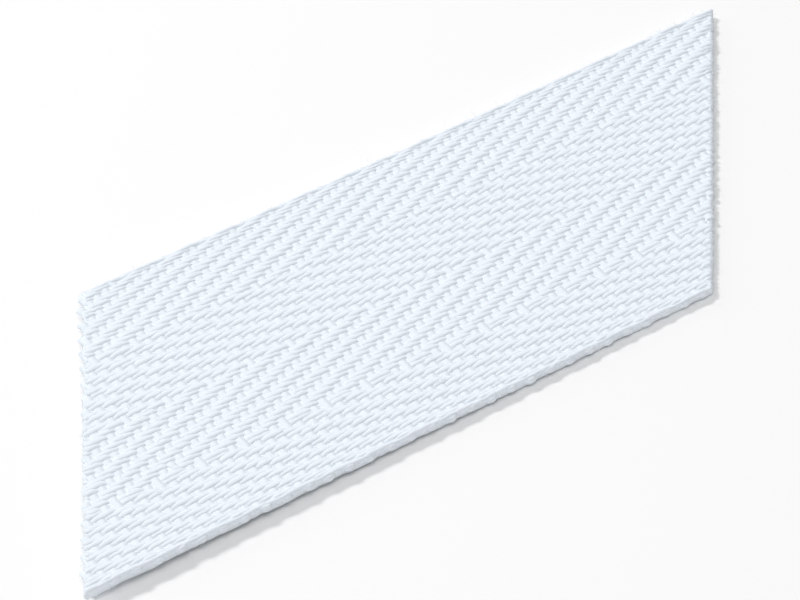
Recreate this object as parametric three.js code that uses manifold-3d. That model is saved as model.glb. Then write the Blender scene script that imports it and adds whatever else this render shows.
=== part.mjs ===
// A short cut length of white herringbone cotton tape, as woven for aprons, ties and bindings.
// It lies flat, and its left end rises a little off the surface.
// Millimetres, +Z up, +X along the tape, origin under the middle of the piece's box.

import * as THREE from 'three';
import { mergeVertices } from 'three/addons/utils/BufferGeometryUtils.js';
import Module from 'manifold-3d';

// The cut length
const WIDTH = 20; // over the weft loops of both selvedges
const THICKNESS = 1.06; // at a twill ridge
const NEAR_LENGTH = 41.2; // along the near selvedge, from cut to cut
const LEFT_CUT_DEG = 33.0; // slant of each cut, measured from square across the tape
const RIGHT_CUT_DEG = 39.7;
const END_LIFT = 0.45; // height of the left tip off the surface
const LIFT_LENGTH = 19; // the stretch, along the tape, that rises to it
const BEND_LIFT = 0.16; // height halfway along that stretch

// The weave: pointed twill over four picks, which turns at the middle and halfway to each side
const PICK = 0.667; // from one weft pick to the next
const REPEAT = 4 * PICK; // from one twill ridge to the next, along the tape
const RIDGE_START = 0.4; // where a ridge crosses the middle line
const NEAR_TURN = 19.5; // warp ends from the middle turn of the twill to the one on each side
const FAR_TURN = 19;
const END_PITCH = 0.2635; // from one warp end to the next in the open cloth
const CROWDED_PITCH = 0.19; // the same beside the selvedge
const CROWDED_WIDTH = 1.5; // the strip of crowded ends along each selvedge
const RIDGE_HEIGHT = 0.11; // of a twill ridge over the groove beside it

// The selvedges
const LOOP_DEPTH = 0.22; // how far a weft loop stands out past the last warp end
const LOOP_START = 0.25; // where the loop begins, peaks and ends, in parts of one repeat
const LOOP_RISE = 0.42;
const LOOP_FALL = 0.58;
const LOOP_END = 0.75;
const EDGE_ROUND = 0.4; // width of the rounding along each selvedge
const TOP_DROP = 0.26; // how far the face falls over that rounding
const UNDER_RISE = 0.16; // how far the underside rises over it

// Half the width of each stretch of the surface grid, from the middle line out to the selvedge
const half = WIDTH / 2;
const crowdedFrom = half - CROWDED_WIDTH;
const MARGIN = 0.5; // the slabs run this far past the outline before they are cut
function columnsFromMiddle(turnEnds) {
  const turn = turnEnds * END_PITCH;
  return [turn / 2, turn, (turn + crowdedFrom) / 2, crowdedFrom, half - EDGE_ROUND, half, half + MARGIN];
}

const tangent = (degrees) => Math.tan(THREE.MathUtils.degToRad(degrees));
const leftRun = WIDTH * tangent(LEFT_CUT_DEG);
const rightRun = WIDTH * tangent(RIGHT_CUT_DEG);
const fullLength = NEAR_LENGTH + rightRun; // near left tip to far right tip
const nearLeft = -fullLength / 2;
const nearRight = nearLeft + NEAR_LENGTH;
const farLeft = nearLeft + leftRun;
const farRight = fullLength / 2;

// Warp ends between the middle line and a place y across the tape
function endsFromMiddle(y) {
  const open = Math.min(Math.abs(y), crowdedFrom);
  const crowded = Math.max(Math.abs(y) - crowdedFrom, 0);
  return open / END_PITCH + crowded / CROWDED_PITCH;
}

// How far a twill ridge has run back along the tape at y: one pick for each warp end, out to a turn and back
function twillShift(y) {
  const ends = endsFromMiddle(y);
  const turn = y < 0 ? NEAR_TURN : FAR_TURN;
  return -PICK * (ends < turn ? ends : 2 * turn - ends);
}

// The underside seen from the near side, from right to left: flat, then two steps of rise to the left tip
const endSlope = (END_LIFT - BEND_LIFT) / (LIFT_LENGTH / 2);
const underside = [
  [farRight + MARGIN, 0],
  [nearLeft + LIFT_LENGTH, 0],
  [nearLeft + LIFT_LENGTH / 2, BEND_LIFT],
  [nearLeft - MARGIN, END_LIFT + MARGIN * endSlope],
];

// Height of the underside over the surface
function lift(x) {
  for (let step = 1; step < underside.length; step++) {
    const [right, rightHeight] = underside[step - 1];
    const [left, leftHeight] = underside[step];
    if (x >= left) return THREE.MathUtils.mapLinear(Math.min(x, right), right, left, rightHeight, leftHeight);
  }
  return END_LIFT + MARGIN * endSlope;
}

// 0 on the open cloth, 1 at the selvedge line
function rounding(y) {
  return Math.max((Math.abs(y) - (half - EDGE_ROUND)) / EDGE_ROUND, 0);
}

// A deep slab, wider and longer than the piece, whose face carries the twill ridges in its own points
function ridgedSlab() {
  const nearColumns = columnsFromMiddle(NEAR_TURN).map((y) => -y).reverse();
  const columns = [...nearColumns, 0, ...columnsFromMiddle(FAR_TURN)];
  const longestShift = PICK * Math.max(NEAR_TURN, FAR_TURN);
  const step = REPEAT / 2; // a crest and a groove in each repeat
  const first = Math.floor((nearLeft - MARGIN - PICK) / step);
  const last = Math.ceil((farRight + MARGIN + longestShift) / step);
  const rows = last - first + 1;
  const positions = [];
  const faces = [];
  const addLayer = (heightAt) => {
    for (let row = first; row <= last; row++) {
      for (const y of columns) {
        const x = RIDGE_START + row * step + twillShift(y);
        positions.push(x, y, heightAt(x, y, row));
      }
    }
  };
  addLayer((x, y, row) => {
    const groove = row % 2 === 0 ? 0 : RIDGE_HEIGHT;
    return lift(x) + THICKNESS - groove - TOP_DROP * rounding(y);
  });
  addLayer(() => -THICKNESS);

  const across = columns.length;
  const under = rows * across;
  const quad = (a, b, c, d) => faces.push(a, b, c, a, c, d);
  for (let row = 0; row < rows - 1; row++) {
    for (let column = 0; column < across - 1; column++) {
      const corner = row * across + column;
      quad(corner, corner + across, corner + across + 1, corner + 1);
      quad(under + corner, under + corner + 1, under + corner + across + 1, under + corner + across);
    }
    const near = row * across;
    const far = near + across - 1;
    quad(near, under + near, under + near + across, near + across);
    quad(far, far + across, under + far + across, under + far);
  }
  const end = (rows - 1) * across;
  for (let column = 0; column < across - 1; column++) {
    quad(column, column + 1, under + column + 1, under + column);
    quad(end + column, under + end + column, under + end + column + 1, end + column + 1);
  }

  const geometry = new THREE.BufferGeometry();
  geometry.setAttribute('position', new THREE.Float32BufferAttribute(positions, 3));
  geometry.setIndex(faces);
  return geometry;
}

// A tall slab that stands on the tape's underside: flat across, and rounded up beside each selvedge
function standingSlab() {
  const edge = half - EDGE_ROUND;
  const out = half + MARGIN;
  const outRise = (UNDER_RISE * (out - edge)) / EDGE_ROUND;
  const top = 3 * THICKNESS;
  const positions = [];
  const faces = [];
  for (const [x, height] of underside) {
    const loop = [[-out, outRise], [-edge, 0], [edge, 0], [out, outRise]];
    for (const [y, rise] of loop) positions.push(x, y, height + rise);
    positions.push(x, out, top, x, -out, top);
  }
  const sides = 6;
  for (let section = 0; section < underside.length - 1; section++) {
    for (let side = 0; side < sides; side++) {
      const here = section * sides + side;
      const beside = section * sides + ((side + 1) % sides);
      faces.push(here, here + sides, beside + sides, here, beside + sides, beside);
    }
  }
  const last = (underside.length - 1) * sides;
  for (const [a, b, c] of [[0, 1, 5], [1, 4, 5], [1, 2, 4], [2, 3, 4]]) {
    faces.push(a, b, c, last + a, last + c, last + b);
  }

  const geometry = new THREE.BufferGeometry();
  geometry.setAttribute('position', new THREE.Float32BufferAttribute(positions, 3));
  geometry.setIndex(faces);
  return geometry;
}

// One selvedge's line from x = from to x = to, with a weft loop standing out once in each repeat
function selvedgeLine(side, from, to) {
  const line = side * (half - LOOP_DEPTH);
  const loop = side * half;
  const profile = [[LOOP_START, line], [LOOP_RISE, loop], [LOOP_FALL, loop], [LOOP_END, line]];
  const points = [];
  for (let repeat = Math.floor(from / REPEAT); repeat <= Math.ceil(to / REPEAT); repeat++) {
    for (const [part, y] of profile) {
      const x = (repeat + part) * REPEAT;
      if (x > from + PICK && x < to - PICK) points.push([x, y]);
    }
  }
  return points;
}

// The outline seen from above: two looped selvedges joined by two slanted cuts
function outlinePrism() {
  const line = half - LOOP_DEPTH;
  const outline = [
    [nearLeft, -half], ...selvedgeLine(-1, nearLeft, nearRight), [nearRight, -line],
    [farRight, half], ...selvedgeLine(1, farLeft, farRight).reverse(), [farLeft, line],
  ];
  const shape = new THREE.Shape(outline.map(([x, y]) => new THREE.Vector2(x, y)));
  const height = 3 * THICKNESS;
  const prism = new THREE.ExtrudeGeometry(shape, { depth: height, bevelEnabled: false, steps: 1 });
  prism.translate(0, 0, -THICKNESS / 2);
  return prism;
}

const wasm = await Module();
wasm.setup();

function toSolid(geometry) {
  const bare = geometry.clone();
  bare.deleteAttribute('normal');
  bare.deleteAttribute('uv');
  const merged = mergeVertices(bare, 1e-4);
  const mesh = new wasm.Mesh({
    numProp: 3,
    vertProperties: new Float32Array(merged.attributes.position.array),
    triVerts: new Uint32Array(merged.index.array),
  });
  mesh.merge();
  return new wasm.Manifold(mesh);
}

function toGeometry(solid) {
  const { vertProperties, triVerts } = solid.getMesh();
  const geometry = new THREE.BufferGeometry();
  geometry.setAttribute('position', new THREE.BufferAttribute(new Float32Array(vertProperties), 3));
  geometry.setIndex(new THREE.BufferAttribute(new Uint32Array(triVerts), 1));
  geometry.computeVertexNormals();
  return geometry;
}

const solid = toSolid(ridgedSlab()).intersect(toSolid(standingSlab())).intersect(toSolid(outlinePrism()));
const cloth = new THREE.MeshStandardMaterial({ color: 0xe9f1fa, roughness: 0.92, metalness: 0 });
const tape = new THREE.Mesh(toGeometry(solid), cloth);
tape.name = 'tape';

const cutLength = new THREE.Group();
cutLength.add(tape);

export default cutLength;
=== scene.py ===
"""A cut length of white herringbone cotton tape, woven yarn by yarn, lying on a pale floor."""

import logging
import math
from dataclasses import dataclass, field
from enum import Enum

import bpy
import numpy as np
from mathutils import Matrix, Vector

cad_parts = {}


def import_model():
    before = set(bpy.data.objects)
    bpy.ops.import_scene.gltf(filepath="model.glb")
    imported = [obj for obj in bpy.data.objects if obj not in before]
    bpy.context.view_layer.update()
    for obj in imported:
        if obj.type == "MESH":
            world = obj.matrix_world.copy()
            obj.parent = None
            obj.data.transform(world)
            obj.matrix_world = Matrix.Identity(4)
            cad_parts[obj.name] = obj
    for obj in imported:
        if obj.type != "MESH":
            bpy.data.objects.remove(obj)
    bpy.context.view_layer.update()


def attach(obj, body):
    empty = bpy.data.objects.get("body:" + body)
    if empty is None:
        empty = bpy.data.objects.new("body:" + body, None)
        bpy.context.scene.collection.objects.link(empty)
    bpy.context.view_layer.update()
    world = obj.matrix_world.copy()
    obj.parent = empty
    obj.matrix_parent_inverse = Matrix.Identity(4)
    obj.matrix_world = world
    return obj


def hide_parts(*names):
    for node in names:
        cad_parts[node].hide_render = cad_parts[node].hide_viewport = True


MM = 0.001
TAPE_NODE = "tape"
BODY = "root"
LOG = logging.getLogger("tape")

# The starts of the random streams. Each lies far enough above nought for the lowest pick's number.
PICK_STREAM = 1200
RUN_STREAM = 3000
RUN_START = 200
TURN_STREAM = 5200
FRAY_STREAM = 9200


class Selvedge(Enum):
    """The two woven edges, with the sign of their side of the middle line."""

    NEAR = -1
    FAR = 1


@dataclass(frozen=True)
class TurnShape:
    """A turn of the weft: its reach, its rise, and how far in the straight part of the pick stops."""

    reach: float
    rise: float
    inset: float


class Turn(Enum):
    """How a weft yarn turns round the last warp end, with the turn's shape."""

    OVER = TurnShape(reach=0.37, rise=-0.06, inset=0.55)
    UNDER = TurnShape(reach=0.29, rise=0.0, inset=0.60)
    WRAP = TurnShape(reach=0.36, rise=0.0, inset=0.55)


@dataclass(frozen=True)
class Outline:
    """The tape's outline seen from above, and how it lies. All sizes are in millimetres."""

    width: float = 20.0
    far_extra: float = 0.26
    near_length: float = 41.0
    left_cut_deg: float = 33.0
    right_cut_deg: float = 39.7
    left_tip_lift: float = 0.50
    lift_length: float = 41.0
    lift_power: float = 1.3
    lift_limit: float = 1.2
    middle_height: float = 0.36

    @property
    def half(self) -> float:
        """From the middle turn of the twill to the near selvedge."""
        return self.width / 2

    @property
    def far_half(self) -> float:
        """From the middle turn of the twill to the far selvedge, which is one end further out."""
        return self.half + self.far_extra

    @property
    def full_length(self) -> float:
        """Length from the near left tip to the far right tip."""
        return self.near_length + self.width * math.tan(math.radians(self.right_cut_deg))

    def left_cut(self, y: np.ndarray | float) -> np.ndarray | float:
        """Return where the left cut crosses the line y."""
        return -self.full_length / 2 + (y + self.half) * math.tan(math.radians(self.left_cut_deg))

    def right_cut(self, y: np.ndarray | float) -> np.ndarray | float:
        """Return where the right cut crosses the line y."""
        start = -self.full_length / 2 + self.near_length
        return start + (y + self.half) * math.tan(math.radians(self.right_cut_deg))

    def lift(self, x: np.ndarray) -> np.ndarray:
        """Return how far the tape stands off the surface at x: nothing at the right, more to the left."""
        start = -self.full_length / 2
        rise = np.clip((start + self.lift_length - x) / self.lift_length, 0.0, self.lift_limit)
        return self.left_tip_lift * rise**self.lift_power


@dataclass(frozen=True)
class Weave:
    """The pointed twill: where each warp end and each weft pick lies, and how they cross."""

    near_ends: int = 39
    far_ends: int = 40
    end_pitch: float = 0.2635
    crowding: float = 0.37
    crowding_ends: float = 5.2
    near_turn: float = 19.5
    far_turn: float = 19.0
    float_picks: int = 2
    pick_pitch: float = 0.6668
    first_pick_x: float = -2.400
    bow: float = -0.30
    skew: float = -0.12
    warp_height: float = 0.052
    weft_height: float = 0.034
    float_flatness: float = 2.2

    def end_positions(self) -> np.ndarray:
        """Return the place of every warp end across the tape, from the near selvedge to the far one."""
        near = np.exp(-np.arange(self.near_ends)[::-1] / self.crowding_ends)
        far = np.exp(-np.arange(self.far_ends)[::-1] / self.crowding_ends)
        near_side = -np.cumsum(self.end_pitch * (1 - self.crowding * near))
        far_side = np.cumsum(self.end_pitch * (1 - self.crowding * far))
        return np.concatenate([near_side[::-1], [0.0], far_side])

    def end_numbers(self) -> np.ndarray:
        """Return the number of every warp end, counted from the middle one."""
        return np.arange(-self.near_ends, self.far_ends + 1)

    def shift(self, end: np.ndarray) -> np.ndarray:
        """Return how many picks the twill has run back at a warp end, out to a turn and back again."""
        away = np.abs(end)
        turn = np.where(end < 0, self.near_turn, self.far_turn)
        return np.where(away <= turn, away, 2 * turn - away)

    def bowed(self, y: np.ndarray, half: float) -> np.ndarray:
        """Return how far a pick has bent along the tape at y."""
        part = y / half
        return self.bow * part**2 + self.skew * part

    def float_shape(self, picks: np.ndarray) -> np.ndarray:
        """Return a warp end's height from -1 to 1, picks away from the middle of a float on the face."""
        wave = np.cos(np.pi * picks / self.float_picks)
        return np.tanh(self.float_flatness * wave) / math.tanh(self.float_flatness)

    def weft_shape(self, pick: int, end: np.ndarray) -> np.ndarray:
        """Return 1 where a warp end passes over the pick and -1 where it passes under it."""
        phase = np.mod(pick + self.shift(end), 2 * self.float_picks)
        return np.where(phase < self.float_picks, 1.0, -1.0)


@dataclass(frozen=True)
class Wander:
    """A smooth random wander along a yarn: its rough size, and its shortest and longest wave."""

    size: float
    shortest: float
    longest: float
    waves: int = 4

    def along(self, rng: np.random.Generator, run: np.ndarray) -> np.ndarray:
        """Return the wander at each place.

        Args:
            rng: the seeded generator.
            run: distance along the yarn, in millimetres.

        Returns:
            One value for each place along the yarn.
        """
        total = np.zeros_like(run)
        for wave in rng.uniform(self.shortest, self.longest, self.waves):
            total += np.sin(2 * np.pi * (run / wave + rng.uniform()))
        return total * self.size / 2


def run_along(path: np.ndarray) -> np.ndarray:
    """Return the distance along a path at each of its points."""
    return np.concatenate([[0.0], np.cumsum(np.linalg.norm(np.diff(path, axis=0), axis=1))])


def path_frame(path: np.ndarray, helper: tuple[float, float, float]) -> tuple[np.ndarray, np.ndarray]:
    """Find two directions square to a path at each of its points.

    Args:
        path: one row of x, y, z for each point.
        helper: a direction that the path never takes.

    Returns:
        The direction to the side, and the one over the path.
    """
    tangent = np.gradient(path, axis=0)
    tangent /= np.linalg.norm(tangent, axis=1, keepdims=True)
    side = np.cross(tangent, np.array(helper))
    side /= np.linalg.norm(side, axis=1, keepdims=True)
    return side, np.cross(side, tangent)


def tube_faces(start: int, rings: int, sides: int) -> np.ndarray:
    """List a tube's four-cornered faces, one ring after another.

    Args:
        start: the index of the tube's first point.
        rings: how many rings it has.
        sides: how many points each ring has.

    Returns:
        One row of four indices for each face.
    """
    corner = np.arange(sides)[None, :]
    follow = (corner + 1) % sides
    here = start + np.arange(rings - 1)[:, None] * sides
    faces = [here + corner, here + follow, here + sides + follow, here + sides + corner]
    return np.stack(faces, axis=-1).reshape(-1, 4)


@dataclass
class MeshParts:
    """The points, faces and two UV maps of a piece while it is built, in millimetres."""

    points: list[np.ndarray] = field(default_factory=list)
    quads: list[np.ndarray] = field(default_factory=list)
    caps: list[np.ndarray] = field(default_factory=list)
    quad_fibre: list[np.ndarray] = field(default_factory=list)
    cap_fibre: list[np.ndarray] = field(default_factory=list)
    quad_atlas: list[np.ndarray] = field(default_factory=list)
    cap_atlas: list[np.ndarray] = field(default_factory=list)
    count: int = 0

    def add_points(self, points: np.ndarray) -> int:
        """Add points and return the index of the first."""
        start = self.count
        self.points.append(points.reshape(-1, 3))
        self.count += len(self.points[-1])
        return start

    def build(self, name: str) -> bpy.types.Object:
        """Make the Blender object.

        Args:
            name: the piece's name.

        Returns:
            The object, linked to the scene, with smooth faces and its UV maps.
        """
        points = np.concatenate(self.points) * MM
        faces = [np.concatenate(self.quads)]
        fibre = [np.concatenate(self.quad_fibre).reshape(-1, 2)]
        atlas = [np.concatenate(self.quad_atlas).reshape(-1, 2)]
        if self.caps:
            faces.append(np.concatenate(self.caps))
            fibre.append(np.concatenate(self.cap_fibre).reshape(-1, 2))
            atlas.append(np.concatenate(self.cap_atlas).reshape(-1, 2))
        corners = np.concatenate([rows.ravel() for rows in faces])
        totals = np.concatenate([np.full(len(rows), rows.shape[1]) for rows in faces])
        starts = np.concatenate([[0], np.cumsum(totals)[:-1]])

        mesh = bpy.data.meshes.new(name)
        mesh.vertices.add(len(points))
        mesh.vertices.foreach_set("co", points.astype(np.float32).ravel())
        mesh.loops.add(len(corners))
        mesh.loops.foreach_set("vertex_index", corners.astype(np.int32))
        mesh.polygons.add(len(starts))
        mesh.polygons.foreach_set("loop_start", starts.astype(np.int32))
        mesh.polygons.foreach_set("use_smooth", np.ones(len(starts), dtype=bool))
        for map_name, values in (("Fibre", fibre), ("OFBake", atlas)):
            layer = mesh.uv_layers.new(name=map_name)
            layer.uv.foreach_set("vector", np.concatenate(values).astype(np.float32).ravel())
        mesh.update(calc_edges=True)
        mesh.validate()
        piece = bpy.data.objects.new(name, mesh)
        bpy.context.scene.collection.objects.link(piece)
        return piece


@dataclass(frozen=True)
class YarnSection:
    """How a yarn is swept along its path, and where its strips lie in the baking map."""

    sides: int = 8
    squareness: float = 3.8
    ply_depth: float = 0.02
    ply_turn: float = 1.5
    strip_start: float = 0.02
    strip_share: float = 0.96
    row_start: float = 0.06
    row_share: float = 0.88
    cap_places: tuple[float, float] = (0.01, 0.99)
    cap_size: tuple[float, float] = (0.006, 0.3)
    cap_run: float = 0.1

    def squared(self, value: np.ndarray) -> np.ndarray:
        """Return a sine or cosine moved out towards its end, as on a yarn pressed by its neighbours."""
        return np.sign(value) * np.abs(value) ** (2 / self.squareness)

    def sweep(
        self,
        parts: MeshParts,
        path: np.ndarray,
        half_width: np.ndarray,
        half_height: np.ndarray,
        strips: np.ndarray,
        strip_count: int,
        twist_start: float,
    ) -> None:
        """Add one closed yarn to a piece.

        Args:
            parts: the piece that the yarn is added to.
            path: the yarn's middle line, one row of x, y, z for each ring.
            half_width: half the yarn's width at each ring.
            half_height: half its height at each ring.
            strips: the number of the strip of the baking map that each ring belongs to.
            strip_count: how many strips the map has.
            twist_start: the angle of the two plies at the first ring.
        """
        side, over = path_frame(path, (0.0, 0.0, 1.0))
        run = run_along(path)
        angle = np.linspace(0, 2 * np.pi, self.sides, endpoint=False)
        ply = twist_start + 2 * np.pi * run / self.ply_turn
        swell = 1 + self.ply_depth * np.cos(2 * (angle[None, :] - ply[:, None]))
        across = half_width[:, None] * self.squared(np.cos(angle))[None, :] * swell
        upward = half_height[:, None] * self.squared(np.sin(angle))[None, :] * swell
        sideways = side[:, None, :] * across[..., None]
        start = parts.add_points(path[:, None, :] + sideways + over[:, None, :] * upward[..., None])
        count = len(path)
        parts.quads.append(tube_faces(start, count, self.sides))

        corner = np.arange(self.sides)[None, :]
        low = np.broadcast_to(corner / self.sides, (count - 1, self.sides))
        high = np.broadcast_to((corner + 1) / self.sides, (count - 1, self.sides))
        first = np.broadcast_to(run[:-1, None], low.shape)
        second = np.broadcast_to(run[1:, None], low.shape)
        along = np.stack([first, first, second, second], axis=-1)
        around = np.stack([low, high, high, low], axis=-1)
        parts.quad_fibre.append(np.stack([along, around], axis=-1).reshape(-1, 2))

        strip = strips[:-1]
        strip_start = np.zeros(count - 1)
        strip_length = np.ones(count - 1)
        for number in np.unique(strip):
            inside = strip == number
            strip_start[inside] = run[:-1][inside].min()
            strip_length[inside] = run[1:][inside].max() - run[:-1][inside].min()
        scale = self.strip_share / strip_length[:, None, None]
        bake_along = self.strip_start + (along - strip_start[:, None, None]) * scale
        bake_around = (strip[:, None, None] + self.row_start + self.row_share * around) / strip_count
        parts.quad_atlas.append(np.stack([bake_along, bake_around], axis=-1).reshape(-1, 2))

        cap_wide, cap_high = self.cap_size
        for last_ring, order, place in zip((0, count - 1), (-1, 1), self.cap_places):
            cap = (start + last_ring * self.sides + np.arange(self.sides))[::order]
            parts.caps.append(cap[None, :])
            turn = angle[::order]
            cap_along = np.full(self.sides, run[last_ring]) + self.cap_run * np.cos(turn)
            parts.cap_fibre.append(np.stack([cap_along, turn / (2 * np.pi)], axis=-1))
            row = strips[last_ring] + 0.5
            bake_row = (row + cap_high * np.sin(turn)) / strip_count
            parts.cap_atlas.append(np.stack([place + cap_wide * np.cos(turn), bake_row], axis=-1))


@dataclass(frozen=True)
class CottonYarnFinish:
    """Bleached two-ply cotton: matt, faintly blue-white, with fine fibres running round the yarn."""

    colour: tuple[float, float, float] = (0.85, 0.905, 0.965)
    shade: tuple[float, float, float] = (0.83, 0.89, 0.955)
    shade_range: tuple[float, float] = (0.3, 0.6)
    roughness: float = 0.9
    specular: float = 0.25
    sheen: float = 0.25
    sheen_roughness: float = 0.5
    fibre_depth: float = 0.009 * MM
    fibre_stretch: tuple[float, float, float] = (1.6, 9.0, 1.0)
    fibre_lean_deg: float = 12.0
    fibre_scale: float = 1.5
    fibre_detail: float = 4.0
    fibre_roughness: float = 0.6
    fuzz_depth: float = 0.010 * MM
    fuzz_per_mm: float = 7.0
    fuzz_detail: float = 2.0

    def material(self, name: str) -> bpy.types.Material:
        """Build the material.

        Args:
            name: the material's name.

        Returns:
            A node material that reads the Fibre map, u in millimetres and v once round the yarn.
        """
        material = bpy.data.materials.new(name)
        material.use_nodes = True
        nodes = material.node_tree.nodes
        links = material.node_tree.links
        shader = nodes["Principled BSDF"]
        shader.inputs["Roughness"].default_value = self.roughness
        shader.inputs["Specular IOR Level"].default_value = self.specular
        shader.inputs["Sheen Weight"].default_value = self.sheen
        shader.inputs["Sheen Roughness"].default_value = self.sheen_roughness

        run = nodes.new("ShaderNodeUVMap")
        run.uv_map = "Fibre"
        place = nodes.new("ShaderNodeMapping")
        place.inputs["Scale"].default_value = self.fibre_stretch
        place.inputs["Rotation"].default_value = (0.0, 0.0, math.radians(self.fibre_lean_deg))
        strands = nodes.new("ShaderNodeTexNoise")
        strands.inputs["Scale"].default_value = self.fibre_scale
        strands.inputs["Detail"].default_value = self.fibre_detail
        strands.inputs["Roughness"].default_value = self.fibre_roughness
        links.new(run.outputs["UV"], place.inputs["Vector"])
        links.new(place.outputs["Vector"], strands.inputs["Vector"])

        bump = nodes.new("ShaderNodeBump")
        bump.inputs["Strength"].default_value = 1.0
        bump.inputs["Distance"].default_value = self.fibre_depth
        links.new(strands.outputs["Fac"], bump.inputs["Height"])
        where = nodes.new("ShaderNodeTexCoord")
        fuzz = nodes.new("ShaderNodeTexNoise")
        fuzz.inputs["Scale"].default_value = self.fuzz_per_mm / MM
        fuzz.inputs["Detail"].default_value = self.fuzz_detail
        links.new(where.outputs["Object"], fuzz.inputs["Vector"])
        rough = nodes.new("ShaderNodeBump")
        rough.inputs["Strength"].default_value = 1.0
        rough.inputs["Distance"].default_value = self.fuzz_depth
        links.new(fuzz.outputs["Fac"], rough.inputs["Height"])
        links.new(bump.outputs["Normal"], rough.inputs["Normal"])
        links.new(rough.outputs["Normal"], shader.inputs["Normal"])

        mix = nodes.new("ShaderNodeMix")
        mix.data_type = "RGBA"
        mix.inputs["A"].default_value = (*self.shade, 1.0)
        mix.inputs["B"].default_value = (*self.colour, 1.0)
        spread = nodes.new("ShaderNodeMapRange")
        spread.inputs["From Min"].default_value = self.shade_range[0]
        spread.inputs["From Max"].default_value = self.shade_range[1]
        links.new(strands.outputs["Fac"], spread.inputs["Value"])
        links.new(spread.outputs["Result"], mix.inputs["Factor"])
        links.new(mix.outputs["Result"], shader.inputs["Base Color"])
        return material


@dataclass(frozen=True)
class FloorFinish:
    """A plain pale studio floor."""

    colour: tuple[float, float, float] = (0.96, 0.96, 0.96)
    roughness: float = 0.9

    def material(self, name: str) -> bpy.types.Material:
        """Build the floor's plain material."""
        material = bpy.data.materials.new(name)
        material.use_nodes = True
        shader = material.node_tree.nodes["Principled BSDF"]
        shader.inputs["Base Color"].default_value = (*self.colour, 1.0)
        shader.inputs["Roughness"].default_value = self.roughness
        shader.inputs["Specular IOR Level"].default_value = 0.0
        return material


def dress(piece: bpy.types.Object, material: bpy.types.Material) -> bpy.types.Object:
    """Give a piece its material and its body.

    Args:
        piece: the piece.
        material: its material.

    Returns:
        The same piece.
    """
    piece.data.materials.append(material)
    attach(piece, BODY)
    return piece


@dataclass(frozen=True)
class GroundMap:
    """Where the ground's two faces and its rim lie in the Fibre map and in the baking map."""

    face_run: tuple[float, float] = (43.0, 79.0)
    face_lefts: tuple[float, float] = (0.01, 0.51)
    face_bottom: float = 0.03
    face_share: tuple[float, float] = (0.48, 0.95)
    rim_run: tuple[float, float] = (120.0, 1.0)
    rim_corner: tuple[float, float] = (0.01, 0.002)
    rim_share: tuple[float, float] = (0.97, 0.02)


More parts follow.
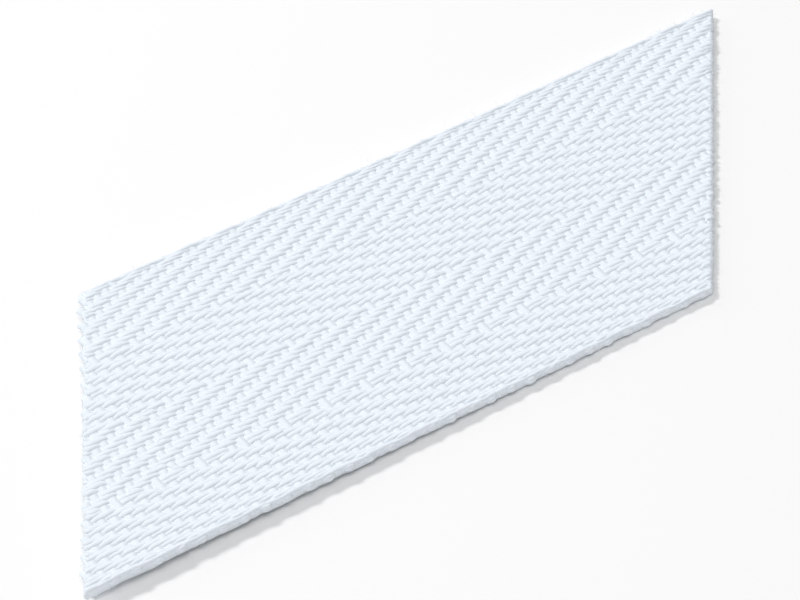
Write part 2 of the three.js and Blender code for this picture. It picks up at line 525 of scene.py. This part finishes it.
@dataclass
class TapeCloth:
    """The woven tape: its warp, its weft, and the ground that closes the weave. Sizes are in millimetres.

    The crowded fields are powers of the room that a warp end has. The sunk fields are the yarn's size
    between two floats, and float_spread what a float adds. The edge fields say how the weave changes
    towards a selvedge, and the wall fields how the last ends differ, which make the tape's side.
    """

    outline: Outline = field(default_factory=Outline)
    weave: Weave = field(default_factory=Weave)
    section: YarnSection = field(default_factory=YarnSection)
    ground_map: GroundMap = field(default_factory=GroundMap)
    warp_bands: int = 4
    steps_per_pick: int = 5
    warp_half_width: float = 0.205
    warp_half_height: float = 0.165
    warp_spread: float = 0.03
    tension_spread: float = 0.06
    warp_size: Wander = Wander(0.05, 0.6, 5.0)
    warp_tension: Wander = Wander(0.10, 1.2, 9.0)
    warp_sideways: Wander = Wander(0.016, 1.2, 7.0)
    crowded_width: float = 0.85
    crowded_height: float = -0.30
    sunk_width: float = 0.98
    sunk_height: float = 1.02
    float_spread: float = 0.05
    edge_reach: float = 0.45
    edge_flattening: float = 0.15
    wall_ends: float = 0.8
    wall_calm: float = 0.4
    wall_sink: float = 0.02
    wall_growth: float = 0.35
    wall_hang: float = 0.12
    weft_half_width: float = 0.27
    weft_half_height: float = 0.14
    weft_size: Wander = Wander(0.04, 0.9, 7.0)
    weft_sideways: Wander = Wander(0.012, 1.5, 9.0)
    weft_sideways_start: float = 50.0
    pick_spread: float = 0.012
    edge_swing: float = 0.06
    edge_narrowing: float = 0.35
    edge_growth: float = 0.40
    turn_steps: int = 10
    turn_spread: float = 0.03
    shortest_pick: float = 0.5
    fewest_steps: int = 4
    ground_inset: float = 0.25
    ground_columns: int = 131
    ground_follow: float = 0.55
    ground_half_thickness: float = 0.03
    cut_fray: float = 0.05
    seed: int = 11

    def face_drop(self, y: np.ndarray) -> np.ndarray:
        """Return how much flatter the weave is at y, from 0 in open cloth to 1 at the selvedge."""
        return np.exp(-np.minimum(self.outline.half + y, self.outline.far_half - y) / self.edge_reach)

    def base(self, x: np.ndarray) -> np.ndarray:
        """Return the height of the cloth's middle over the surface at x."""
        return self.outline.middle_height + self.outline.lift(x)

    def warp_height(self, x: np.ndarray, y: np.ndarray, end: np.ndarray) -> np.ndarray:
        """Return a warp end's height over the middle of the cloth."""
        weave = self.weave
        offset = weave.bowed(y, self.outline.half)
        float_middle = weave.first_pick_x + offset + weave.pick_pitch * (0.5 - weave.shift(end))
        picks = (x - float_middle) / weave.pick_pitch
        return weave.warp_height * (1 - self.edge_flattening * self.face_drop(y)) * weave.float_shape(picks)

    def wall_share(self, index: int, count: int) -> float:
        """Return how much a warp end belongs to the upright side of the tape: 1 for the last, then less."""
        return math.exp(-min(index, count - 1 - index) / self.wall_ends)

    def warp_band(self, band: int, material: bpy.types.Material) -> bpy.types.Object:
        """Build one band of warp ends.

        Args:
            band: which band, counted from the near selvedge.
            material: the yarn's material.

        Returns:
            The dressed piece.
        """
        positions = self.weave.end_positions()
        numbers = self.weave.end_numbers()
        gaps = np.gradient(positions)
        members = np.array_split(np.arange(len(positions)), self.warp_bands)[band]
        parts = MeshParts()
        for strip, index in enumerate(members):
            rng = np.random.default_rng((self.seed, int(index)))
            y = positions[index]
            start = self.outline.left_cut(y) + rng.uniform(-self.cut_fray, self.cut_fray)
            stop = self.outline.right_cut(y) + rng.uniform(-self.cut_fray, self.cut_fray)
            steps = int(round((stop - start) / self.weave.pick_pitch * self.steps_per_pick))
            x = np.linspace(start, stop, steps + 1)
            line = np.full_like(x, y)
            height = self.warp_height(x, line, numbers[index])
            size = 1 + rng.normal(0, self.warp_spread) + self.warp_size.along(rng, x)
            tension = 1 + rng.normal(0, self.tension_spread) + self.warp_tension.along(rng, x)
            wall = self.wall_share(index, len(positions))
            lying = height * tension * (1 - self.wall_calm * wall) - self.wall_sink * wall
            hang = self.wall_hang * wall * self.outline.lift(x)
            sideways = line + self.warp_sideways.along(rng, x)
            path = np.stack([x, sideways, self.base(x) + lying - hang], axis=-1)
            room = gaps[index] / self.weave.end_pitch
            flat = self.float_spread * (np.abs(height) / self.weave.warp_height)
            half_width = self.warp_half_width * room**self.crowded_width * size
            half_width = half_width * (self.sunk_width + flat)
            half_height = self.warp_half_height * room**self.crowded_height * size
            half_height = half_height * (self.sunk_height - flat) * (1 + self.wall_growth * wall) + hang
            strips = np.full(len(x), strip)
            twist = rng.uniform(0, np.pi)
            self.section.sweep(parts, path, half_width, half_height, strips, len(members), twist)
        return dress(parts.build(f"warp_band_{band + 1}"), material)

    def weft_line(self, pick: int, y: np.ndarray) -> np.ndarray:
        """Return the middle line of a pick, one row of x, y, z for each place across the tape."""
        weave = self.weave
        positions = weave.end_positions()
        over_warp = -weave.weft_shape(pick, weave.end_numbers())
        edge = self.face_drop(positions)
        swing = (weave.weft_height + self.edge_swing * edge) * over_warp
        rng = np.random.default_rng((self.seed, PICK_STREAM + pick))
        x = weave.first_pick_x + weave.pick_pitch * pick + weave.bowed(y, self.outline.half)
        sideways = rng.normal(0, self.pick_spread)
        x = x + sideways + self.weft_sideways.along(rng, y + self.weft_sideways_start)
        return np.stack([x, y, self.base(x) + np.interp(y, positions, swing)], axis=-1)

    def turn_line(self, pick: int, side: Selvedge, leaving: np.ndarray, joining: np.ndarray) -> np.ndarray:
        """Return the middle line of a turn of the weft round the selvedge.

        Args:
            pick: the pick that the yarn leaves.
            side: the selvedge.
            leaving: the last point of the pick that it leaves.
            joining: the first point of the pick that it joins.

        Returns:
            Points between the two, without either.
        """
        rng = np.random.default_rng((self.seed, TURN_STREAM + pick))
        shape = self.turn_kind(pick, side).value
        reach = shape.reach + rng.uniform(-self.turn_spread, self.turn_spread)
        angle = np.linspace(0, np.pi, self.turn_steps + 1)[1:-1]
        part = (1 - np.cos(angle)) / 2
        line = leaving + (joining - leaving) * part[:, None]
        line[:, 1] += side.value * reach * np.sin(angle)
        line[:, 2] += shape.rise * np.sin(angle)
        return line

    def turn_kind(self, pick: int, side: Selvedge) -> Turn:
        """Return how the weft turns after a pick, from where the last warp end lies at both picks."""
        end = np.array([-self.weave.near_ends if side is Selvedge.NEAR else self.weave.far_ends])
        here = self.weave.weft_shape(pick, end)[0]
        after = self.weave.weft_shape(pick + 1, end)[0]
        if here != after:
            return Turn.WRAP
        return Turn.UNDER if here > 0 else Turn.OVER

    def edge_of_pick(self, pick: int, side: Selvedge) -> float:
        """Return how far across the tape the straight part of a pick runs before it turns."""
        turning = pick if self.turns_after(pick, side) else pick - 1
        reach = self.outline.half if side is Selvedge.NEAR else self.outline.far_half
        return side.value * (reach - self.turn_kind(turning, side).value.inset)

    @staticmethod
    def turns_after(pick: int, side: Selvedge) -> bool:
        """Return whether the weft turns at this side after the pick rather than before it."""
        return pick % 2 == (1 if side is Selvedge.NEAR else 0)

    def weft_paths(self) -> list[tuple[np.ndarray, np.ndarray]]:
        """Return every unbroken run of the weft as its middle line and the pick of each point."""
        outline = self.outline
        start = self.weave.first_pick_x
        first = math.ceil((outline.left_cut(-outline.half) - start) / self.weave.pick_pitch)
        last = math.floor((outline.right_cut(outline.far_half) - start) / self.weave.pick_pitch)
        left_slope = math.tan(math.radians(outline.left_cut_deg))
        right_slope = math.tan(math.radians(outline.right_cut_deg))
        paths: list[tuple[np.ndarray, np.ndarray]] = []
        lines: list[np.ndarray] = []
        owners: list[np.ndarray] = []

        def close() -> None:
            """Store the run that is being laid, if it has any length."""
            if lines:
                paths.append((np.concatenate(lines), np.concatenate(owners)))
            lines.clear()
            owners.clear()

        for pick in range(first, last + 1):
            x = start + self.weave.pick_pitch * pick
            near = self.edge_of_pick(pick, Selvedge.NEAR)
            far = self.edge_of_pick(pick, Selvedge.FAR)
            rng = np.random.default_rng((self.seed, FRAY_STREAM + pick))
            fray = rng.uniform(-self.cut_fray, self.cut_fray, 2)
            left_y = -outline.half + (x - outline.left_cut(-outline.half)) / left_slope + fray[0]
            right_y = -outline.half + (x - outline.right_cut(-outline.half)) / right_slope + fray[1]
            cut_far = left_y < far
            cut_near = right_y > near
            low = right_y if cut_near else near
            high = left_y if cut_far else far
            if high - low < self.shortest_pick:
                close()
                continue
            steps = max(self.fewest_steps, int(round((high - low) / (self.weave.end_pitch / 2))))
            y = np.linspace(low, high, steps + 1)
            line = self.weft_line(pick, y)
            to_near = self.turns_after(pick, Selvedge.NEAR)
            if to_near:
                line = line[::-1]
            begins_cut = cut_far if to_near else cut_near
            ends_cut = cut_near if to_near else cut_far
            if begins_cut:
                close()
            if lines:
                side = Selvedge.FAR if to_near else Selvedge.NEAR
                turn = self.turn_line(pick - 1, side, lines[-1][-1], line[0])
                lines.append(turn)
                owners.append(np.full(len(turn), pick - 1))
            lines.append(line)
            owners.append(np.full(len(line), pick))
            if ends_cut:
                close()
        close()
        return paths

    def weft(self, material: bpy.types.Material) -> bpy.types.Object:
        """Build the whole weft, with its turns at both selvedges.

        Args:
            material: the yarn's material.

        Returns:
            The dressed piece.
        """
        paths = self.weft_paths()
        lowest = min(int(owner.min()) for _, owner in paths)
        strips = max(int(owner.max()) for _, owner in paths) - lowest + 1
        parts = MeshParts()
        for line, owner in paths:
            rng = np.random.default_rng((self.seed, RUN_STREAM, int(owner[0]) + RUN_START))
            size = 1 + self.weft_size.along(rng, run_along(line))
            edge = self.face_drop(np.clip(line[:, 1], -self.outline.half, self.outline.far_half))
            self.section.sweep(
                parts,
                line,
                self.weft_half_width * size * (1 - self.edge_narrowing * edge),
                self.weft_half_height * size * (1 + self.edge_growth * edge),
                owner - lowest,
                strips,
                rng.uniform(0, np.pi),
            )
        return dress(parts.build("weft"), material)

    def ground(self, material: bpy.types.Material) -> bpy.types.Object:
        """Build the thin ground that runs inside the warp ends and closes the weave to light.

        Args:
            material: the yarn's material.

        Returns:
            The dressed piece.
        """
        positions = self.weave.end_positions()
        numbers = self.weave.end_numbers()
        count = self.ground_columns
        part = np.linspace(0, 1, count)
        rows = []
        for y, end in zip(positions, numbers):
            start = self.outline.left_cut(y) + self.ground_inset
            stop = self.outline.right_cut(y) - self.ground_inset
            x = start + (stop - start) * part
            height = self.ground_follow * self.warp_height(x, np.full_like(x, y), end)
            rows.append(np.stack([x, np.full_like(x, y), self.base(x) + height], axis=-1))
        surface = np.stack(rows)
        thick = np.array([0.0, 0.0, self.ground_half_thickness])
        parts = MeshParts()
        top = parts.add_points(surface + thick)
        under = parts.add_points(surface - thick)
        across = len(positions)
        row, column = np.meshgrid(np.arange(across - 1), np.arange(count - 1), indexing="ij")
        corner = (row * count + column).ravel()
        faces = np.stack([corner, corner + 1, corner + count + 1, corner + count], axis=-1)
        grid = np.stack([np.stack([column, row], axis=-1)] * 4, axis=-2).reshape(-1, 4, 2).astype(float)
        grid += np.array([[0, 0], [1, 0], [1, 1], [0, 1]])
        grid /= np.array([count - 1, across - 1])
        maps = self.ground_map
        for start, order, left in zip((top, under), (1, -1), maps.face_lefts):
            parts.quads.append(start + faces[:, ::order])
            spot = grid[:, ::order]
            parts.quad_fibre.append((spot * np.array(maps.face_run)).reshape(-1, 2))
            place = np.array([left, maps.face_bottom]) + spot * np.array(maps.face_share)
            parts.quad_atlas.append(place.reshape(-1, 2))
        rim = np.concatenate([
            np.arange(count),
            np.arange(1, across) * count + count - 1,
            (across - 1) * count + np.arange(count - 2, -1, -1),
            np.arange(across - 2, 0, -1) * count,
        ])
        follow = np.roll(rim, -1)
        parts.quads.append(np.stack([top + rim, under + rim, under + follow, top + follow], axis=-1))
        place = np.arange(len(rim)) / len(rim)
        ahead = place + 1 / len(rim)
        edge_u = np.stack([place, place, ahead, ahead], axis=-1)
        edge_v = np.broadcast_to(np.array([1.0, 0.0, 0.0, 1.0]), edge_u.shape)
        rim_uv = np.stack([edge_u, edge_v], axis=-1).reshape(-1, 2)
        parts.quad_fibre.append(rim_uv * np.array(maps.rim_run))
        parts.quad_atlas.append(np.array(maps.rim_corner) + rim_uv * np.array(maps.rim_share))
        return dress(parts.build("ground"), material)

    def area(self) -> float:
        """Return the flat area of the cut length, in square metres."""
        mean = (
            self.outline.near_length
            + self.outline.right_cut(self.outline.half)
            - self.outline.left_cut(self.outline.half)
        ) / 2
        return mean * self.outline.width * MM * MM


@dataclass(frozen=True)
class FibreGroup:
    """One group of loose fibres, in millimetres.

    length, outward and height are ranges: of the fibre's length, of the part of its heading that points
    away from the cloth, and of its root's height over the middle of the cloth. margin keeps the roots
    off the corners. aside is the spread of the part of the heading that runs along the border, and
    upward the mean and spread of the part that points up.
    """

    count: int
    length: tuple[float, float]
    outward: tuple[float, float]
    margin: float
    height: tuple[float, float] = (0.0, 0.0)
    aside: float = 0.0
    upward: tuple[float, float] = (0.0, 0.0)


@dataclass
class LooseFibres:
    """Short cotton fibres that stand off the selvedges, the cut ends and the face."""

    cloth: TapeCloth
    edges: FibreGroup = FibreGroup(300, (0.15, 0.5), (0.4, 1.0), 0.3, (-0.1, 0.28), 0.7, (0.1, 0.45))
    cuts: FibreGroup = FibreGroup(420, (0.12, 0.42), (0.5, 1.0), 0.2, (-0.25, 0.25), 0.4, (0.0, 0.35))
    faces: FibreGroup = FibreGroup(1300, (0.15, 0.55), (0.05, 0.45), 0.2)
    edge_depth: tuple[float, float] = (0.02, 0.3)
    cut_depth: float = 0.1
    face_depth: float = 0.9
    curl: float = 0.3
    sides: int = 3
    rings: int = 5
    half_thickness: float = 0.008
    tip_share: float = 0.5
    helper: tuple[float, float, float] = (0.31, 0.17, 0.93)
    cell_margin: float = 0.05
    cell_share: float = 0.9
    fibre_run: tuple[float, float] = (0.6, 1.0)
    fibre_step: float = 0.37
    seed: int = 23

    def add(
        self, parts: MeshParts, root: np.ndarray, heading: np.ndarray, length: float, curl: np.ndarray
    ) -> None:
        """Add one curved fibre.

        Args:
            parts: the piece that it is added to.
            root: where it leaves the yarn.
            heading: its first direction.
            length: its length.
            curl: how far its tip has turned aside, in parts of its length.
        """
        part = np.linspace(0, 1, self.rings)[:, None]
        path = root + heading * length * part + curl * length * part**2
        path[:, 2] = np.maximum(path[:, 2], 2 * self.half_thickness)
        side, over = path_frame(path, self.helper)
        angle = np.linspace(0, 2 * np.pi, self.sides, endpoint=False)
        thick = self.half_thickness * np.linspace(1, self.tip_share, self.rings)[:, None, None]
        rings = path[:, None] + thick * (
            side[:, None] * np.cos(angle)[:, None] + over[:, None] * np.sin(angle)[:, None]
        )
        start = parts.add_points(rings)
        parts.quads.append(tube_faces(start, self.rings, self.sides))
        last = start + (self.rings - 1) * self.sides
        parts.caps.append(np.stack([start + np.arange(self.sides)[::-1], last + np.arange(self.sides)]))

    def finish_maps(self, parts: MeshParts) -> None:
        """Give every fibre a small cell of its own in the baking map, and a plain run in the other."""
        quad_count = (self.rings - 1) * self.sides
        cells = math.ceil(math.sqrt(len(parts.quads)))
        square = np.array([[0, 0], [1, 0], [1, 1], [0, 1]], dtype=float)
        root_cap = [[0.1, 0.85], [0.4, 0.85], [0.25, 0.97]]
        tip_cap = [[0.6, 0.85], [0.9, 0.85], [0.75, 0.97]]
        tips = np.array(root_cap + tip_cap)
        for number in range(len(parts.quads)):
            corner = np.array([number % cells, number // cells], dtype=float)
            step = np.arange(quad_count)[:, None]
            spot = np.stack([step % self.sides, step // self.sides], axis=-1) + square
            spot = spot / np.array([self.sides, self.rings + 1])
            place = (corner + self.cell_margin + self.cell_share * spot) / cells
            parts.quad_atlas.append(place.reshape(-1, 2))
            fibre = spot * np.array(self.fibre_run) + number * self.fibre_step
            parts.quad_fibre.append(fibre.reshape(-1, 2))
            parts.cap_atlas.append((corner + self.cell_margin + self.cell_share * tips) / cells)
            parts.cap_fibre.append(tips + number * self.fibre_step)

    def cloth_height(self, x: float) -> float:
        """Return the height of the cloth's middle over the surface at x."""
        return self.cloth.outline.middle_height + float(self.cloth.outline.lift(np.array(x)))

    def add_edge_fibre(self, parts: MeshParts, rng: np.random.Generator) -> None:
        """Add one fibre that stands off a selvedge."""
        outline = self.cloth.outline
        group = self.edges
        side = rng.choice([-1.0, 1.0])
        y = side * ((outline.half if side < 0 else outline.far_half) - rng.uniform(*self.edge_depth))
        x = rng.uniform(outline.left_cut(y) + group.margin, outline.right_cut(y) - group.margin)
        z = self.cloth_height(x) + rng.uniform(*group.height)
        aside = rng.normal(0, group.aside)
        heading = np.array([aside, side * rng.uniform(*group.outward), rng.normal(*group.upward)])
        heading /= np.linalg.norm(heading)
        length = rng.uniform(*group.length)
        self.add(parts, np.array([x, y, z]), heading, length, rng.normal(0, self.curl, 3))

    def add_cut_fibre(self, parts: MeshParts, rng: np.random.Generator) -> None:
        """Add one fibre that stands off a cut end."""
        outline = self.cloth.outline
        group = self.cuts
        side = rng.choice([-1.0, 1.0])
        y = rng.uniform(-outline.half + group.margin, outline.half - group.margin)
        x = (outline.right_cut(y) if side > 0 else outline.left_cut(y)) - side * self.cut_depth
        z = self.cloth_height(x) + rng.uniform(*group.height)
        outward = side * rng.uniform(*group.outward)
        heading = np.array([outward, rng.normal(0, group.aside), rng.normal(*group.upward)])
        heading /= np.linalg.norm(heading)
        length = rng.uniform(*group.length)
        self.add(parts, np.array([x, y, z]), heading, length, rng.normal(0, self.curl, 3))

    def add_face_fibre(self, parts: MeshParts, rng: np.random.Generator) -> None:
        """Add one fibre that stands off the upper face or the underside."""
        outline = self.cloth.outline
        group = self.faces
        positions = self.cloth.weave.end_positions()
        index = int(rng.integers(0, len(positions)))
        y = positions[index]
        x = rng.uniform(outline.left_cut(y) + group.margin, outline.right_cut(y) - group.margin)
        end = self.cloth.weave.end_numbers()[index]
        lying = float(self.cloth.warp_height(np.array(x), np.array(y), end))
        face = 1.0 if lying > 0 else -1.0
        z = self.cloth_height(x) + lying + face * self.cloth.warp_half_height * self.face_depth
        turn = rng.uniform(0, 2 * np.pi)
        heading = np.array([math.cos(turn), math.sin(turn), face * rng.uniform(*group.outward)])
        heading /= np.linalg.norm(heading)
        aside = (rng.normal(0, self.curl), rng.normal(0, self.curl))
        curl = np.array([*aside, -face * rng.uniform(0.0, self.curl)])
        self.add(parts, np.array([x, y, z]), heading, rng.uniform(*group.length), curl)

    def build(self, material: bpy.types.Material) -> bpy.types.Object:
        """Build all the loose fibres as one piece.

        Args:
            material: the fibres' material.

        Returns:
            The dressed piece.
        """
        rng = np.random.default_rng(self.seed)
        parts = MeshParts()
        for _ in range(self.edges.count):
            self.add_edge_fibre(parts, rng)
        for _ in range(self.cuts.count):
            self.add_cut_fibre(parts, rng)
        for _ in range(self.faces.count):
            self.add_face_fibre(parts, rng)
        self.finish_maps(parts)
        return dress(parts.build("loose_fibres"), material)


@dataclass
class Studio:
    """The floor, the light and the camera."""

    elevation_deg: float = 40.496
    azimuth_deg: float = 36.384
    focal_pixels: float = 4109.4
    picture_width: float = 800.0
    sensor_width: float = 36.0
    clip_range: tuple[float, float] = (0.005, 20.0)
    distance: float = 0.22535
    target_mm: tuple[float, float, float] = (-2.106, -0.54, 0.62)
    floor_size: float = 3.0
    world_strength: float = 0.34
    light_distance: float = 0.6
    key_share: float = 0.36
    key_size: tuple[float, float] = (0.11, 0.11)
    key_height_deg: float = 49.0
    key_azimuth_deg: float = -18.0
    back_share: float = 0.05
    back_size: tuple[float, float] = (0.8, 0.3)
    back_height_deg: float = 18.0
    front_share: float = 0.31
    front_size: tuple[float, float] = (0.35, 0.35)
    front_height_deg: float = 62.0

    def camera(self) -> None:
        """Make the camera at the photograph's angle, and make it the scene's."""
        azimuth = math.radians(self.azimuth_deg)
        elevation = math.radians(self.elevation_deg)
        forward = Vector((
            math.sin(azimuth) * math.cos(elevation),
            math.cos(azimuth) * math.cos(elevation),
            -math.sin(elevation),
        ))
        right = Vector((math.cos(azimuth), -math.sin(azimuth), 0.0))
        upward = right.cross(forward)
        data = bpy.data.cameras.new("camera")
        data.sensor_width = self.sensor_width
        data.sensor_fit = "HORIZONTAL"
        data.lens = data.sensor_width * self.focal_pixels / self.picture_width
        data.clip_start, data.clip_end = self.clip_range
        camera = bpy.data.objects.new("camera", data)
        turn = Matrix((right, upward, -forward)).transposed().to_4x4()
        place = Vector(self.target_mm) * MM - forward * self.distance
        camera.matrix_world = Matrix.Translation(place) @ turn
        bpy.context.scene.collection.objects.link(camera)
        bpy.context.scene.camera = camera

    def floor(self) -> None:
        """Make the plain pale floor."""
        reach = self.floor_size / 2
        mesh = bpy.data.meshes.new("floor")
        corners = [(-reach, -reach, 0.0), (reach, -reach, 0.0), (reach, reach, 0.0), (-reach, reach, 0.0)]
        mesh.from_pydata(corners, [], [(0, 1, 2, 3)])
        floor = bpy.data.objects.new("floor", mesh)
        floor.data.materials.append(FloorFinish().material("floor"))
        bpy.context.scene.collection.objects.link(floor)

    def light(
        self, name: str, share: float, azimuth_deg: float, height_deg: float, size: tuple[float, float]
    ) -> None:
        """Add a soft light that points at the tape.

        Args:
            name: the light's name.
            share: the part of a white floor's full brightness that it gives.
            azimuth_deg: its direction seen from above, turned from straight across the tape.
            height_deg: its height over the surface, as an angle.
            size: its width and height in metres.
        """
        height = math.radians(height_deg)
        azimuth = math.radians(azimuth_deg)
        direction = Vector((
            math.sin(azimuth) * math.cos(height),
            math.cos(azimuth) * math.cos(height),
            math.sin(height),
        ))
        data = bpy.data.lights.new(name, "AREA")
        data.shape = "RECTANGLE"
        data.size, data.size_y = size
        data.energy = share * math.pi**2 * self.light_distance**2 / direction.z
        lamp = bpy.data.objects.new(name, data)
        lamp.location = direction * self.light_distance
        lamp.rotation_euler = direction.to_track_quat("Z", "Y").to_euler()
        bpy.context.scene.collection.objects.link(lamp)

    def lights(self) -> None:
        """Light the room evenly, with a key and a low light from beyond, and one from the camera's side."""
        scene = bpy.context.scene
        world = bpy.data.worlds.new("studio")
        world.use_nodes = True
        shade = world.node_tree.nodes["Background"]
        shade.inputs["Color"].default_value = (1.0, 1.0, 1.0, 1.0)
        shade.inputs["Strength"].default_value = self.world_strength
        scene.world = world

        beyond = self.key_azimuth_deg
        front = self.azimuth_deg + 180.0
        self.light("key", self.key_share, beyond, self.key_height_deg, self.key_size)
        self.light("back", self.back_share, beyond, self.back_height_deg, self.back_size)
        self.light("front", self.front_share, front, self.front_height_deg, self.front_size)
        scene.view_settings.view_transform = "Standard"
        scene.view_settings.look = "None"
        scene.view_settings.exposure = 0.0
        scene.view_settings.gamma = 1.0


def build_tape(cloth: TapeCloth) -> list[bpy.types.Object]:
    """Build every piece of the tape.

    Args:
        cloth: the tape's sizes.

    Returns:
        The pieces.
    """
    yarn = CottonYarnFinish().material("cotton_yarn")
    yarns = [cloth.warp_band(band, yarn) for band in range(cloth.warp_bands)]
    yarns.append(cloth.weft(yarn))
    yarns.append(LooseFibres(cloth).build(yarn))
    ground = cloth.ground(yarn)
    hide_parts(TAPE_NODE)
    length = cloth.area() / (cloth.outline.width * MM)
    cloth.area()
    pieces = [*yarns, ground]
    for piece in pieces:
        LOG.info("%s: %d faces", piece.name, len(piece.data.polygons))
    return pieces


def main() -> None:
    """Build the studio and the tape."""
    logging.basicConfig(level=logging.INFO, format="%(message)s")
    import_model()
    studio = Studio()
    studio.camera()
    studio.floor()
    studio.lights()
    pieces = build_tape(TapeCloth())
    bpy.context.view_layer.update()
    LOG.info("%d pieces", len(pieces))


if __name__ == "__main__":
    main()
